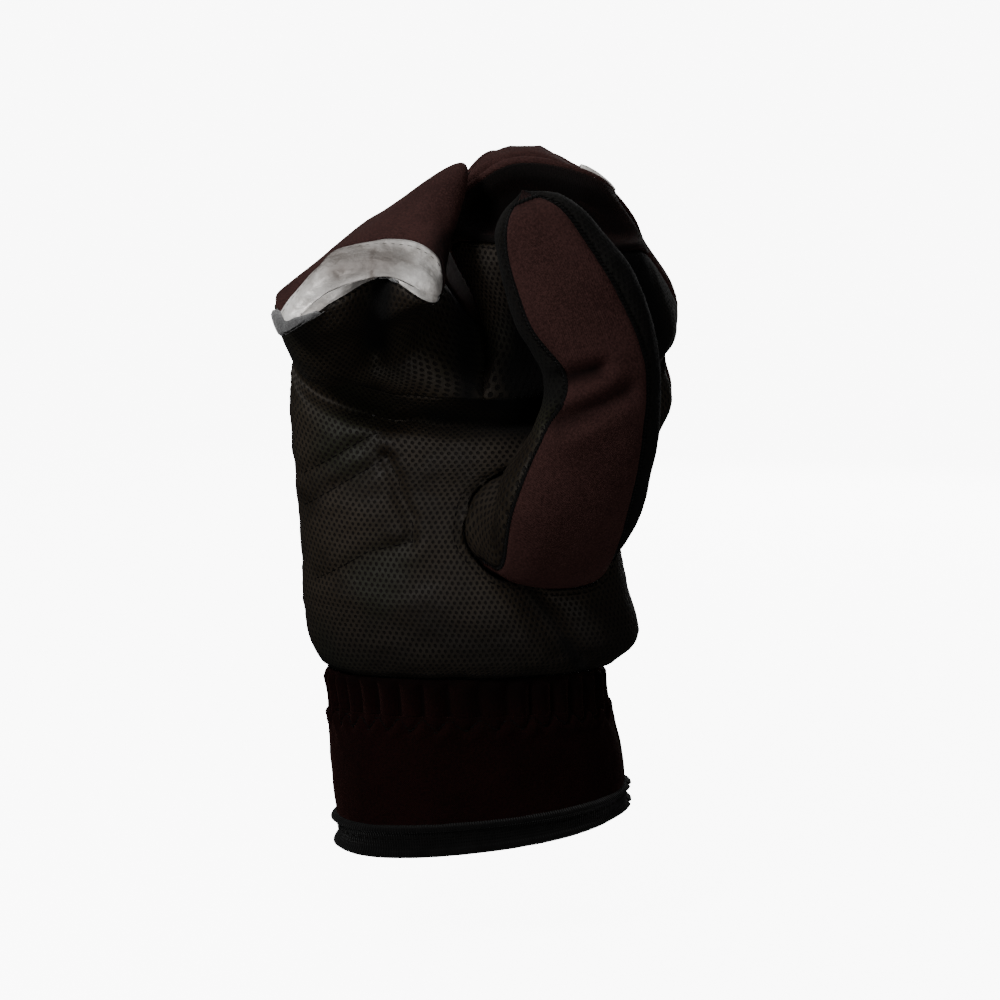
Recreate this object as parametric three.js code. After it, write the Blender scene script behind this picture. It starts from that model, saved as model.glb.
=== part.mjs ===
// A softshell glove with two finger pockets and a thumb, as it is worn on a right hand.
// Millimetres. The palm looks towards -Y, the thumb is at +X and the fingertips are up.
// The origin is in the middle of the wrist's mouth.
import * as THREE from 'three';

const WALL = 1.6;           // softshell or leather, with the fleece on its back
const SEAM_GAP = 0.3;       // left between two panels that are sewn together
const SEAM_FLARE = 2.6;     // half a seam's width at the lining, in widths of its gap
const TAPE_THICKNESS = 1;
const HEM_PROUD = 0.8;      // how far the binding stands out from the cuff
const FULL_TURN = 2 * Math.PI;

// Each table has a row for each section round a tube, from its open end to its tip.
// side goes from the middle to the thumb side, palm to the palm side and back to the back,
// which is opposite palm where it isn't given. arch lifts both sides, and square is under 1
// where the section is fuller than an ellipse. peak is how far the corner between the back and
// the thumb side is drawn, fall how far the back's other corner drops, and tip the share of the
// wall by which the lining is drawn back.
const CUFF = [
  { at: [0.5, 0, 5], side: [44.5, 7, 3.4], palm: [-3, -27, -2.5] },
  { at: [-0.5, 0, 18], side: [45.5, 6, 2], palm: [-3, -27, -1] },
  { at: [-2.5, 0, 33], side: [45, 4, 1], palm: [-2, -27, 0] },
  { at: [-4, 0, 45], side: [43, 2, 0], palm: [-1, -25.5, 0] },
  { at: [-5.5, 0, 55.6], side: [43.6, 1, 0], palm: [0, -25.5, 1] },
];
const HAND = [
  { at: [-5.5, 0, 56], side: [44, 1, 0], palm: [0, -26, 1] },
  { at: [-2.8, -1, 62.5], side: [49.7, 1, 0], palm: [0, -28, 0] },
  { at: [-3.2, -1, 71], side: [52, 0, -1], palm: [0, -29, 0] },
  { at: [-5.7, -1, 84], side: [50.3, 0, 0], palm: [0, -29, -2] },
  { at: [-6.7, 0, 102], side: [49.8, 0, 0], palm: [0, -27, -4] },
  { at: [-3.8, 1, 120], side: [54.2, 0, 1], palm: [0, -26, -7] },
  { at: [-0.4, 2, 138], side: [58.9, 0, 1], palm: [0, -27, -14], back: [0, 26, 8] },
  { at: [-1, 3, 149], side: [58, 0, 1.5], palm: [0, -26, -18], back: [0, 25, 9] },
  { at: [-0.8, 6, 155.5], side: [57.6, 0, 1.2], palm: [0, -20, -21], back: [0, 23, 10] },
  { at: [0.7, 1, 163.5], side: [59.3, 0, 0], palm: [0, -30, -20], back: [0, 24, 9] },
];
const LEFT_POCKET = [
  { at: [-36, -11, 171], side: [23, 0, 7], palm: [1, -22, -20], back: [0, 25, 13],
    square: 0.75, peak: [3, 0, 9], fall: 4 },
  { at: [-36, -26, 180], side: [25, 0, 8], palm: [0, -19, -17], back: [0, 14, 11],
    square: 0.8, peak: [13, 0, 19], fall: 8 },
  { at: [-35.5, -42, 181], side: [25, 0, 4], palm: [0, -14, -12], back: [0, 10, 12], arch: [0, 0, -1],
    square: 0.8, peak: [2, 0, 8], fall: 7 },
  { at: [-35, -53, 181.5], side: [24.5, 0, 2], palm: [0, -8, -7], back: [0, 5, 9.5], arch: [0, 0, -4],
    square: 0.85, fall: 2, tip: 0.5 },
  { at: [-34.5, -58.5, 181], side: [22.5, 0, 2], palm: [0, -3, -4.5], back: [0, -1, 6], arch: [0, 0, -4.5],
    square: 0.9, tip: 0.8 },
  { at: [-34.5, -61.5, 180.5], side: [17, 0, 1.5], palm: [0, 0, 0], back: [0, 0, 0], arch: [0, 0, -3],
    tip: 1.1 },
];
const RIGHT_POCKET = [
  { at: [28.5, -1, 173], side: [30.5, 0, -1], palm: [0, -28, -14], back: [0, 23, 11], square: 0.8 },
  { at: [19.7, 0, 187], side: [31.1, -4, -2], palm: [3, -28, -6], back: [1, 20, 8], square: 0.8 },
  { at: [17, 1, 197], side: [27.5, -7, -1.5], palm: [4, -26, -3], back: [2, 18, 6], square: 0.85 },
  { at: [15.5, 1, 206], side: [21, -6, -1], palm: [3, -25, 0], back: [1, 16, 3], square: 0.85 },
  { at: [13.5, 1, 212.5], side: [13, -2, -1], palm: [0, -17, 0], back: [0, 11, 1], square: 0.85 },
  { at: [12.5, 1, 216], side: [6.5, 0, 0], palm: [0, -8, 0], back: [0, 4, 0], tip: 0.8 },
  { at: [13.5, 1, 217], side: [3.5, 0, 0], palm: [0, -0.5, 0], back: [0, 0.5, 0], tip: 1 },
];
const THUMB = [
  { at: [25.5, -33, 108], side: [22.5, 5, 4], palm: [-1, -8, -17], back: [2, 4, 18] },
  { at: [28, -42, 121], side: [22.5, 5, 2], palm: [0, -14, -9], back: [0, 10, 12] },
  { at: [34, -47, 138], side: [18.5, 2, 0], palm: [0, -15, -3], back: [0, 14, 4] },
  { at: [35, -50, 156], side: [17, 0, 3], palm: [0, -15, -1], back: [0, 13, 2] },
  { at: [28, -52, 175], side: [17.5, 0, 7], palm: [0, -14, -1], back: [0, 12, 1] },
  { at: [20, -53, 191], side: [14.5, 0, 6], palm: [0, -12, 0], back: [0, 10, 0] },
  { at: [14.5, -54, 202], side: [10, 0, 4], palm: [0, -8.5, 0], back: [0, 8, 0], tip: 0.6 },
  { at: [12, -54.5, 208], side: [0.8, 0, 0.2], palm: [0, -0.8, 0], back: [0, 0.8, 0], tip: 1 },
];

// The thumb grows out of a rounded hole in the palm: row is counted along HAND, turn from the
// middle of the palm to the thumb side, and tall and wide are its half sizes.
const THUMB_HOLE = { row: 4.65, turn: 0.108, tall: 1.5, wide: 0.108, square: 0.8, seat: 0.97, lead: 1.35 };

// The softshell on the thumb's front: its two edges, as turns from the front, at each row.
const THUMB_FRONT = [
  { left: -0.16, right: 0.12 },
  { left: -0.165, right: 0.125 },
  { left: -0.16, right: 0.135 },
  { left: -0.175, right: 0.13 },
  { left: -0.105, right: 0.137 },
  { left: -0.144, right: 0.118 },
  { left: -0.157, right: 0.118 },
  { left: -0.13, right: 0.13 },
  { left: -0.12, right: 0.12 },
];

// Folds, quilting and creases on the palm side, seen from the front as lines in X and Z.
// rise is how far each pushes out, and is negative for a groove.
const FOLDS = [
  { on: 'hand', from: [-55, 118], to: [-17, 137], width: 3.5, rise: -1.6 },
  { on: 'hand', from: [-55, 108], to: [-29, 125], width: 3.5, rise: -1.6 },
  { on: 'hand', from: [-29, 125], to: [-21, 103], width: 3, rise: -1.2 },
  { on: 'hand', from: [-23, 98], to: [-50, 84], width: 3.5, rise: -1.4 },
  { on: 'hand', from: [-46, 101], to: [-33, 110], width: 9, rise: 2 },
  { on: 'hand', from: [11, 87], to: [29, 61], width: 4.5, rise: -4.5 },
  { on: 'hand', from: [34, 80], to: [42, 66], width: 7, rise: 3 },
  { on: 'hand', from: [-45, 148], to: [-13, 136], width: 5, rise: 2.5 },
  { on: 'leftPocket', from: [-31, 172], to: [-31, 150], width: 5, rise: -3 },
  { on: 'leftPocket', from: [-16, 170], to: [-14, 148], width: 6, rise: 3 },
  { on: 'thumb', from: [24, 153], to: [38, 157], width: 3.5, rise: -2.5 },
];

const PEAK = { turn: 0.395, width: 0.115 };
const FALL = { turn: 0.63, width: 0.1 };
const PUCKERS = { count: 34, rise: 1.3 };
const WEB_RISE = 4;         // how far the web between the pockets arches up
const ROWS = { hemTop: 0.7, cuffTop: 3, gatherTop: 4, hand: HAND.length - 1, leftTip: 6, leftSeam: 5,
  rightTip: 7, thumbTip: 8 };
// From which row on the lining follows smaller sections, towards a closed tip.
const TIP_FROM = { cuff: Infinity, hand: Infinity, leftPocket: 4.2, rightPocket: 4.6, thumb: 5 };

const LEATHER = { color: 0x24261f, roughness: 0.62, metalness: 0 };
const SOFTSHELL = { color: 0x2b1d1b, roughness: 0.9, metalness: 0 };
const BLACK_KNIT = { color: 0x0c0b0b, roughness: 0.85, metalness: 0 };
const SILVER_TAPE = { color: 0xb9b7b0, roughness: 0.45, metalness: 0.1 };

const vector = (list) => new THREE.Vector3(...list);
const mix = THREE.MathUtils.lerp;
const smooth = THREE.MathUtils.smoothstep;
const power = (value, exponent) => Math.sign(value) * Math.abs(value) ** exponent;

function shortened(arm, depth) {
  const length = arm.length();
  const leastLeft = length / 3;
  return arm.setLength(Math.max(length - depth, leastLeft));
}

// The sections of a tube at a depth under its outside.
function sections(rows, depth) {
  return rows.map((row, index) => {
    const at = vector(row.at);
    if (row.tip) {
      const inwards = vector(rows[index - 2].at).sub(at);
      at.add(inwards.setLength(row.tip * depth));
    }
    return {
      at,
      side: shortened(vector(row.side), depth),
      palm: shortened(vector(row.palm), depth),
      back: shortened(row.back ? vector(row.back) : vector(row.palm).negate(), depth),
      arch: vector(row.arch ?? [0, 0, 0]),
      square: row.square ?? 0.92,
      peak: vector(row.peak ?? [0, 0, 0]),
      fall: row.fall ?? 0,
    };
  });
}

// A smooth rise to 1 at one turn.
function bump(turn, { turn: top, width }) {
  const away = (THREE.MathUtils.euclideanModulo(turn - top + 0.5, 1) - 0.5) / width;
  return Math.exp(-(away ** 2));
}

// A point of one section: turn 0 is the middle of the palm side, a quarter is the thumb side.
function pointOn(section, turn) {
  const across = power(Math.sin(turn * FULL_TURN), section.square);
  const forward = power(Math.cos(turn * FULL_TURN), section.square);
  const arm = forward < 0 ? section.back : section.palm;
  return section.at.clone()
    .addScaledVector(section.peak, bump(turn, PEAK))
    .add(new THREE.Vector3(0, 0, -section.fall * bump(turn, FALL)))
    .addScaledVector(section.side, across)
    .addScaledVector(arm, Math.abs(forward))
    .addScaledVector(section.arch, across * across);
}

// A smooth curve through points, one for each row; row may be any number between them.
function through(points, row) {
  const start = THREE.MathUtils.clamp(Math.floor(row), 0, points.length - 2);
  const [first, second] = [points[start], points[start + 1]];
  const before = points[start - 1] ?? first.clone().multiplyScalar(2).sub(second);
  const after = points[start + 2] ?? second.clone().multiplyScalar(2).sub(first);
  const f = row - start;
  return new THREE.Vector3()
    .addScaledVector(before, (-f + 2 * f ** 2 - f ** 3) / 2)
    .addScaledVector(first, (2 - 5 * f ** 2 + 3 * f ** 3) / 2)
    .addScaledVector(second, (f + 4 * f ** 2 - 3 * f ** 3) / 2)
    .addScaledVector(after, (f ** 3 - f ** 2) / 2);
}

// Pushes a point on the palm side out by the folds that it lies on.
function folded(point, turn, on, share = 1) {
  const palmward = Math.max(Math.cos(turn * FULL_TURN), 0) * share;
  for (const fold of FOLDS.filter((row) => row.on === on)) {
    const start = new THREE.Vector3(fold.from[0], 0, fold.from[1]);
    const end = new THREE.Vector3(fold.to[0], 0, fold.to[1]);
    const here = new THREE.Vector3(point.x, 0, point.z);
    const nearest = new THREE.Line3(start, end).closestPointToPoint(here, true, new THREE.Vector3());
    const away = nearest.distanceTo(here) / fold.width;
    point.y -= fold.rise * palmward * Math.exp(-(away ** 2));
  }
  return point;
}

// Where a pocket or the thumb leaves the hand: a place on the hand's surface, or on the web.
function rootOf(name, turn, grow = THUMB_HOLE.seat) {
  if (name === 'thumb') {
    return {
      row: THUMB_HOLE.row - power(Math.cos(turn * FULL_TURN), THUMB_HOLE.square) * THUMB_HOLE.tall * grow,
      turn: THUMB_HOLE.turn + power(Math.sin(turn * FULL_TURN), THUMB_HOLE.square) * THUMB_HOLE.wide * grow,
      web: null,
    };
  }
  const side = name === 'leftPocket' ? -1 : 1;
  const place = THREE.MathUtils.euclideanModulo(turn + 1 / 8, 1);
  return {
    row: ROWS.hand,
    turn: (side * Math.min(place, 3 / 4) * 2) / 3,
    angle: side * (place - 1 / 8),
    web: place <= 3 / 4 ? null : (1 - place) * 4,
  };
}

// All surfaces of the glove, with their sections made smaller by a depth. Each takes a row and a turn.
function surfaces(depth) {
  const cuffs = sections(CUFF, depth);
  const hands = sections(HAND, depth);
  const pockets = { left: sections(LEFT_POCKET, depth), right: sections(RIGHT_POCKET, depth) };
  const thumbs = sections(THUMB, depth);

  function cuff(row, turn) {
    const point = through(cuffs.map((section) => pointOn(section, turn)), row);
    const gather = THREE.MathUtils.clamp(row - ROWS.cuffTop, 0, 1);
    const wave = Math.cos(PUCKERS.count * turn * FULL_TURN);
    const outwards = new THREE.Vector3(Math.sin(turn * FULL_TURN), -Math.cos(turn * FULL_TURN), 0);
    return point.addScaledVector(outwards, PUCKERS.rise * Math.sin(Math.PI * gather) ** 2 * wave);
  }

  function hand(row, turn) {
    return folded(through(hands.map((section) => pointOn(section, turn)), row), turn, 'hand');
  }

  // The web between the pockets, from the front at 0 to the back at 1.
  function web(share) {
    const point = hand(ROWS.hand, 0).lerp(hand(ROWS.hand, 0.5), share);
    point.z += (WEB_RISE - depth) * Math.sin(Math.PI * share);
    return point;
  }

  // A pocket: three quarters of its base go on from the hand's last section, the rest from the web.
  function pocket(which, row, turn) {
    const root = rootOf(`${which}Pocket`, turn);
    const points = pockets[which].map((section) => pointOn(section, root.angle));
    const other = pockets[which === 'left' ? 'right' : 'left'][0];
    if (root.web === null) points.unshift(hand(ROWS.hand - 1, root.turn), hand(ROWS.hand, root.turn));
    else points.unshift(leadIn(root, pointOn(other, -root.angle)), web(root.web));
    return folded(through(points, row + 1), turn, `${which}Pocket`, smooth(row, 0, 1));
  }

  // The point before the web: at its two ends the hand's, and in the middle the other pocket's.
  function leadIn(root, across) {
    const ends = hand(ROWS.hand - 1, 0).lerp(hand(ROWS.hand - 1, 0.5), root.web);
    return ends.lerp(across, Math.sin(Math.PI * root.web));
  }

  function thumb(row, turn) {
    const points = thumbs.map((section) => pointOn(section, turn));
    for (const grow of [THUMB_HOLE.seat, THUMB_HOLE.lead]) {
      const root = rootOf('thumb', turn, grow);
      points.unshift(hand(root.row, root.turn));
    }
    return folded(through(points, row + 1), turn, 'thumb');
  }

  return {
    cuff,
    hand,
    thumb,
    leftPocket: (row, turn) => pocket('left', row, turn),
    rightPocket: (row, turn) => pocket('right', row, turn),
  };
}

const OUTER = surfaces(0);

// The steps along a row and a turn at a place on a surface, in millimetres for each unit.
function slopesAt(surface, row, turn) {
  const step = 0.01;
  return {
    alongRows: surface(row + step, turn).sub(surface(row - step, turn)).divideScalar(2 * step),
    alongTurn: surface(row, turn + step).sub(surface(row, turn - step)).divideScalar(2 * step),
  };
}

// The direction into the glove at a place, square to the outside.
function inwardsAt(name, row, turn) {
  const { alongRows, alongTurn } = slopesAt(OUTER[name], row, turn);
  const own = alongRows.cross(alongTurn).setLength(name === 'leftPocket' ? -1 : 1);
  const ownShare = smooth(row, 0, 0.6);
  if (name === 'hand' || name === 'cuff' || ownShare === 1) return own;
  return inwardsAtRoot(name, turn).lerp(own, ownShare).normalize();
}

// Where two surfaces meet, both take the hand's direction, or the web's.
function inwardsAtRoot(name, turn) {
  const root = rootOf(name, turn);
  if (root.web === null) return inwardsAt('hand', root.row, root.turn);
  const ends = inwardsAt('hand', ROWS.hand, 0).lerp(inwardsAt('hand', ROWS.hand, 0.5), root.web);
  return ends.lerp(new THREE.Vector3(0, 0, -1), Math.sin(Math.PI * root.web)).normalize();
}

// All surfaces at one depth under the outside, square to it, and drawn back at the closed tips.
function skin(depth) {
  const shrunk = surfaces(depth);
  const under = (name) => (row, turn) => {
    const square = OUTER[name](row, turn).addScaledVector(inwardsAt(name, row, turn), depth);
    const tipShare = smooth(row, TIP_FROM[name], TIP_FROM[name] + 0.8);
    return tipShare > 0 ? square.lerp(shrunk[name](row, turn), tipShare) : square;
  };
  return Object.fromEntries(Object.keys(OUTER).map((name) => [name, under(name)]));
}

// Moves a place near the thumb's hole onto its edge, and says how far inside the hole it is.
function atHole(place, snap = 0.12) {
  const across = (place.turn - THUMB_HOLE.turn) / THUMB_HOLE.wide;
  const along = (place.row - THUMB_HOLE.row) / THUMB_HOLE.tall;
  const exponent = 2 / THUMB_HOLE.square;
  const reach = (Math.abs(across) ** exponent + Math.abs(along) ** exponent) ** (1 / exponent);
  if (Math.abs(reach - 1) > snap) return { ...place, clear: reach - 1 };
  return {
    row: THUMB_HOLE.row + (along / reach) * THUMB_HOLE.tall,
    turn: THUMB_HOLE.turn + (across / reach) * THUMB_HOLE.wide,
    clear: 0,
  };
}

// The part of a cell outside the thumb's hole.
function clipped(corners) {
  const kept = [];
  corners.forEach((corner, index) => {
    const next = corners[(index + 1) % corners.length];
    if (corner.clear >= 0) kept.push(corner);
    if (corner.clear * next.clear < 0) {
      const share = corner.clear / (corner.clear - next.clear);
      const crossing = { row: mix(corner.row, next.row, share), turn: mix(corner.turn, next.turn, share) };
      kept.push(atHole(crossing, 1));
    }
  });
  return kept.some((corner) => corner.clear > 0) ? kept : [];
}

const outside = skin(0);
const inside = skin(WALL);

// One panel: a sheet over a range of rows and turns, with a wall of its own and closed edges.
// A bound of rows may be a function of the turn, and a bound of turns a function of the row.
function panel({ name, on, rows, turns, cells, material, holed = false, closed = false,
  outer = outside, inner = inside }) {
  const valueAt = (bound, x) => (typeof bound === 'function' ? bound(x) : bound);
  const wholeLoop = typeof turns[0] === 'number' && Math.abs(turns[1] - turns[0] - 1) < 1e-9;

  function place(i, j) {
    const u = i / cells.rows;
    const v = (wholeLoop ? j % cells.turns : j) / cells.turns;
    const turnsVary = typeof turns[0] === 'function';
    let row = turnsVary ? mix(rows[0], rows[1], u) : 0;
    const turn = mix(valueAt(turns[0], row), valueAt(turns[1], row), v);
    if (!turnsVary) row = mix(valueAt(rows[0], turn), valueAt(rows[1], turn), u);
    const { alongRows, alongTurn } = slopesAt(OUTER[on], row, turn);
    const rowInwards = Number(i === 0) - Number(i === cells.rows && !closed);
    const turnInwards = wholeLoop ? 0 : Number(j === 0) - Number(j === cells.turns);
    const drawnBack = (gap) => ({
      row: row + (rowInwards * gap) / alongRows.length(),
      turn: turn + (turnInwards * gap) / alongTurn.length(),
    });
    const corner = { ...drawnBack(SEAM_GAP / 2), lining: drawnBack(SEAM_GAP * SEAM_FLARE), clear: 1 };
    return holed ? atHole(corner) : corner;
  }

  const numbers = new Map();
  const places = [];
  function vertex(corner) {
    const point = outer[on](corner.row, corner.turn);
    const key = point.toArray().map((value) => Math.round(value * 1e4)).join();
    if (!numbers.has(key)) {
      numbers.set(key, places.length);
      places.push(corner);
    }
    return numbers.get(key);
  }

  const faces = [];
  for (let i = 0; i < cells.rows; i += 1) {
    for (let j = 0; j < cells.turns; j += 1) {
      const corners = [place(i, j), place(i, j + 1), place(i + 1, j + 1), place(i + 1, j)];
      const loop = [...new Set((holed ? clipped(corners) : corners).map(vertex))];
      for (let k = 1; k < loop.length - 1; k += 1) faces.push([loop[0], loop[k], loop[k + 1]]);
    }
  }

  const count = places.length;
  const points = [
    ...places.map((corner) => outer[on](corner.row, corner.turn)),
    ...places.map(({ lining, ...corner }) => inner[on]((lining ?? corner).row, (lining ?? corner).turn)),
  ];
  const edges = new Set(faces.flatMap(([a, b, c]) => [`${a},${b}`, `${b},${c}`, `${c},${a}`]));
  const solid = faces.flatMap(([a, b, c]) => [[a, b, c], [c + count, b + count, a + count]]);
  for (const edge of edges) {
    const [a, b] = edge.split(',').map(Number);
    const [a2, b2] = [a + count, b + count];
    const rising = places[a].row + places[a].turn < places[b].row + places[b].turn;
    if (edges.has(`${b},${a}`)) continue;
    if (rising) solid.push([b, a, a2], [b, a2, b2]);
    else solid.push([b, a, b2], [a, a2, b2]);
  }
  return mesh(name, points, solid, material);
}

// A mesh from points and triangles, with its faces turned outwards.
function mesh(name, points, triangles, material) {
  const volume = triangles.reduce(
    (sum, [a, b, c]) => sum + points[a].dot(points[b].clone().cross(points[c])) / 6, 0);
  const ordered = volume < 0 ? triangles.map(([a, b, c]) => [a, c, b]) : triangles;
  const geometry = new THREE.BufferGeometry().setFromPoints(points);
  geometry.setIndex(ordered.flat());
  geometry.computeVertexNormals();
  const result = new THREE.Mesh(geometry, new THREE.MeshStandardMaterial(material));
  result.name = name;
  return result;
}

// Where a pocket's or the thumb's edges lie.
const thumbFront = {
  left: (row) => through(THUMB_FRONT.map((edge) => new THREE.Vector3(edge.left, 0, 0)), row).x,
  right: (row) => through(THUMB_FRONT.map((edge) => new THREE.Vector3(edge.right, 0, 0)), row).x,
};

// The silver tape's upper edge: a narrow strip, a step up, a broad band and a short slope down.
// Widths are in rows, and the rest in shares of the way over the back from left to right.
const TAPE = { strip: 0.25, band: 0.75, corner: 0.05, stepFrom: 0.3, stepTo: 0.46, slopeFrom: 0.78,
  slope: 0.75 };
function tapeEdge(turn) {
  const share = THREE.MathUtils.euclideanModulo(turn - 1 / 4, 1) * 2;
  if (share > 1) return ROWS.leftSeam;
  const corners = smooth(share, 0, TAPE.corner) * smooth(1 - share, 0, TAPE.corner);
  const band = smooth(share, TAPE.stepFrom, TAPE.stepTo) - TAPE.slope * smooth(share, TAPE.slopeFrom, 1);
  return ROWS.leftSeam - TAPE.strip * corners - TAPE.band * Math.max(band, 0);
}

// The leather tongue of the right pocket has a round-cornered end.
const TONGUE = { from: -5 / 24, to: 6 / 24, end: 2.5, round: 0.5, roundness: 5 };
function tongueEnd(turn) {
  const middle = (TONGUE.from + TONGUE.to) / 2;
  const fromMiddle = (turn - middle) / (TONGUE.to - middle);
  return TONGUE.end - TONGUE.round * Math.abs(fromMiddle) ** TONGUE.roundness;
}

// The strip of silver tape on the right pocket's shoulder.
const SHOULDER_STRIP = { rows: [3.7, 4.7], turns: [0.18, 0.53] };

const glove = new THREE.Group();
glove.add(
  panel({ name: 'hem_binding', on: 'cuff', rows: [0, ROWS.hemTop], turns: [0, 1],
    cells: { rows: 2, turns: 48 }, material: BLACK_KNIT, outer: skin(-HEM_PROUD),
    inner: skin(WALL + HEM_PROUD) }),
  panel({ name: 'cuff', on: 'cuff', rows: [ROWS.hemTop, ROWS.cuffTop], turns: [0, 1],
    cells: { rows: 5, turns: 40 }, material: SOFTSHELL }),
  panel({ name: 'wrist_gather', on: 'cuff', rows: [ROWS.cuffTop, ROWS.gatherTop], turns: [0, 1],
    cells: { rows: 2, turns: 4 * PUCKERS.count }, material: SOFTSHELL }),
  panel({ name: 'palm_panel', on: 'hand', rows: [0, ROWS.hand], turns: [-1 / 4, 1 / 4],
    cells: { rows: 18, turns: 18 }, material: LEATHER, holed: true }),
  panel({ name: 'hand_back', on: 'hand', rows: [0, ROWS.hand], turns: [1 / 4, 3 / 4],
    cells: { rows: 18, turns: 18 }, material: SOFTSHELL }),
  panel({ name: 'left_pocket_palm', on: 'leftPocket', rows: [0, ROWS.leftSeam], turns: [-1 / 4, 1 / 4],
    cells: { rows: 9, turns: 12 }, material: LEATHER }),
  panel({ name: 'left_pocket_back', on: 'leftPocket', rows: [0, tapeEdge], turns: [1 / 4, 3 / 4],
    cells: { rows: 9, turns: 12 }, material: SOFTSHELL }),
  panel({ name: 'left_tip_tape', on: 'leftPocket', rows: [tapeEdge, ROWS.leftTip], turns: [1 / 4, 5 / 4],
    cells: { rows: 4, turns: 24 }, material: SILVER_TAPE, closed: true }),
  panel({ name: 'right_pocket_palm', on: 'rightPocket', rows: [0, tongueEnd], turns: [TONGUE.from, TONGUE.to],
    cells: { rows: 4, turns: 11 }, material: LEATHER }),
  panel({ name: 'right_tip_front', on: 'rightPocket', rows: [tongueEnd, ROWS.rightTip],
    turns: [TONGUE.from, TONGUE.to], cells: { rows: 10, turns: 11 }, material: SOFTSHELL }),
  panel({ name: 'right_pocket_back', on: 'rightPocket', rows: [0, ROWS.rightTip],
    turns: [TONGUE.to, 1 + TONGUE.from], cells: { rows: 14, turns: 13 }, material: SOFTSHELL }),
  panel({ name: 'right_tip_tape', on: 'rightPocket', ...SHOULDER_STRIP, cells: { rows: 3, turns: 8 },
    material: SILVER_TAPE, outer: skin(-TAPE_THICKNESS - SEAM_GAP), inner: skin(-SEAM_GAP) }),
  panel({ name: 'thumb_back', on: 'thumb', rows: [0, ROWS.thumbTip],
    turns: [thumbFront.left, thumbFront.right], cells: { rows: 17, turns: 7 }, material: SOFTSHELL }),
  panel({ name: 'thumb_palm', on: 'thumb', rows: [0, ROWS.thumbTip],
    turns: [thumbFront.right, (row) => thumbFront.left(row) + 1], cells: { rows: 17, turns: 13 },
    material: LEATHER }),
);

export default glove;
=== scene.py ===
# A right-hand softshell glove, curled as it is when worn: the palm looks towards -Y, the thumb is at
# +X and the fingertips are up. Each panel is a sheet laid over the tube that it covers, with a wall
# of its own. Sizes of the tubes are in millimetres, and the meshes are in metres.
import math
import bmesh
import bpy
import numpy as np
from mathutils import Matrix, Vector, noise
from mathutils.bvhtree import BVHTree


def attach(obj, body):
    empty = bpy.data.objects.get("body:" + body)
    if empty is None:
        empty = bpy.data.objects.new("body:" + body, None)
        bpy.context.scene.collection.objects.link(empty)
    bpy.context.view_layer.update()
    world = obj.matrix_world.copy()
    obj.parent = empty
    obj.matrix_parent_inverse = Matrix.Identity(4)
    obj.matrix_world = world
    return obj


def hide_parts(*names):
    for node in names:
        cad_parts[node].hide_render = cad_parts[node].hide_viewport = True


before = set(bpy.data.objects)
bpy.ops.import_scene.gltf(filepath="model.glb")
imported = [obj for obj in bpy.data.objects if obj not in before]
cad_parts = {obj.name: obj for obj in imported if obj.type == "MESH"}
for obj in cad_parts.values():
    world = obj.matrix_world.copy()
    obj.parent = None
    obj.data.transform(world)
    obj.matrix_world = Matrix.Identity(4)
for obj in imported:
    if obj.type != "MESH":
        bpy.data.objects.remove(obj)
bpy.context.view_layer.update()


# The cuff and the wrist gather: one softshell tube from the mouth up to the wrist, closed by a seam
# at the thumb side. An elastic inside its top, held by a zigzag of stitches, pulls it into pillows.
MM = 0.001
FULL_TURN = 2 * math.pi
# Where a ring's peak and fall lie on it, and how wide they are, in turns.
PEAK_TURN = 0.395
PEAK_WIDTH = 0.115
FALL_TURN = 0.63
FALL_WIDTH = 0.1


def power(value, exponent):
    """A power that keeps the value's sign."""
    return np.sign(value) * np.abs(value) ** exponent


def bump(turn, top, width):
    """A hill on the way round a tube, 1 at its top."""
    return np.exp(-((((turn - top + 0.5) % 1 - 0.5) / width) ** 2))


def section(at, side, palm, back=None, arch=(0, 0, 0), square=0.92, peak=(0, 0, 0), fall=0):
    """A ring of a tube, fuller than an ellipse. Its arms go from the middle to the thumb side, the
    palm side and the back; a peak draws up one place on it, and a fall lets down another."""
    at, side, palm, arch, peak = (np.array(arm, float) for arm in (at, side, palm, arch, peak))
    back = -palm if back is None else np.array(back, float)

    def points(turn):
        across = power(np.sin(turn * FULL_TURN), square)[..., None]
        forward = power(np.cos(turn * FULL_TURN), square)[..., None]
        result = at + side * across + arch * across**2
        result = result + np.where(forward < 0, back, palm) * np.abs(forward)
        result = result + peak * bump(turn, PEAK_TURN, PEAK_WIDTH)[..., None]
        result[..., 2] -= fall * bump(turn, FALL_TURN, FALL_WIDTH)
        return result

    return points


def through(points, row):
    """A smooth curve through the points of each row, taken at any row between them."""
    points = [2 * points[0] - points[1], *points, 2 * points[-1] - points[-2]]
    stack = np.stack(points)
    start = np.clip(np.floor(row).astype(int), 0, len(points) - 4)
    near = [np.take_along_axis(stack, (start + k)[None, ..., None], axis=0)[0] for k in range(4)]
    f = (row - start)[..., None]
    return 0.5 * (
        2 * near[1]
        + (near[2] - near[0]) * f
        + (2 * near[0] - 5 * near[1] + 4 * near[2] - near[3]) * f**2
        + (3 * near[1] - near[0] - 3 * near[2] + near[3]) * f**3
    )


def smooth(value, low, high):
    """A smooth step from 0 to 1 as the value goes from low to high."""
    share = np.clip((value - low) / (high - low), 0, 1)
    return share * share * (3 - 2 * share)


def bell(distance, width):
    """1 on a line, and less with the distance from it."""
    return np.exp(-((distance / width) ** 2))


CUFF = [
    section((0.5, 0, 5), (44.5, 7, 3.4), (-3, -27, -2.5)),
    section((-0.5, 0, 18), (45.5, 6, 2), (-3, -27, -1)),
    section((-2.5, 0, 33), (45, 4, 1), (-2, -27, 0)),
    section((-4, 0, 45), (43, 2, 0), (-1, -25.5, 0)),
    section((-5.5, 0, 55.6), (43.6, 1, 0), (0, -25.5, 1)),
]
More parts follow.
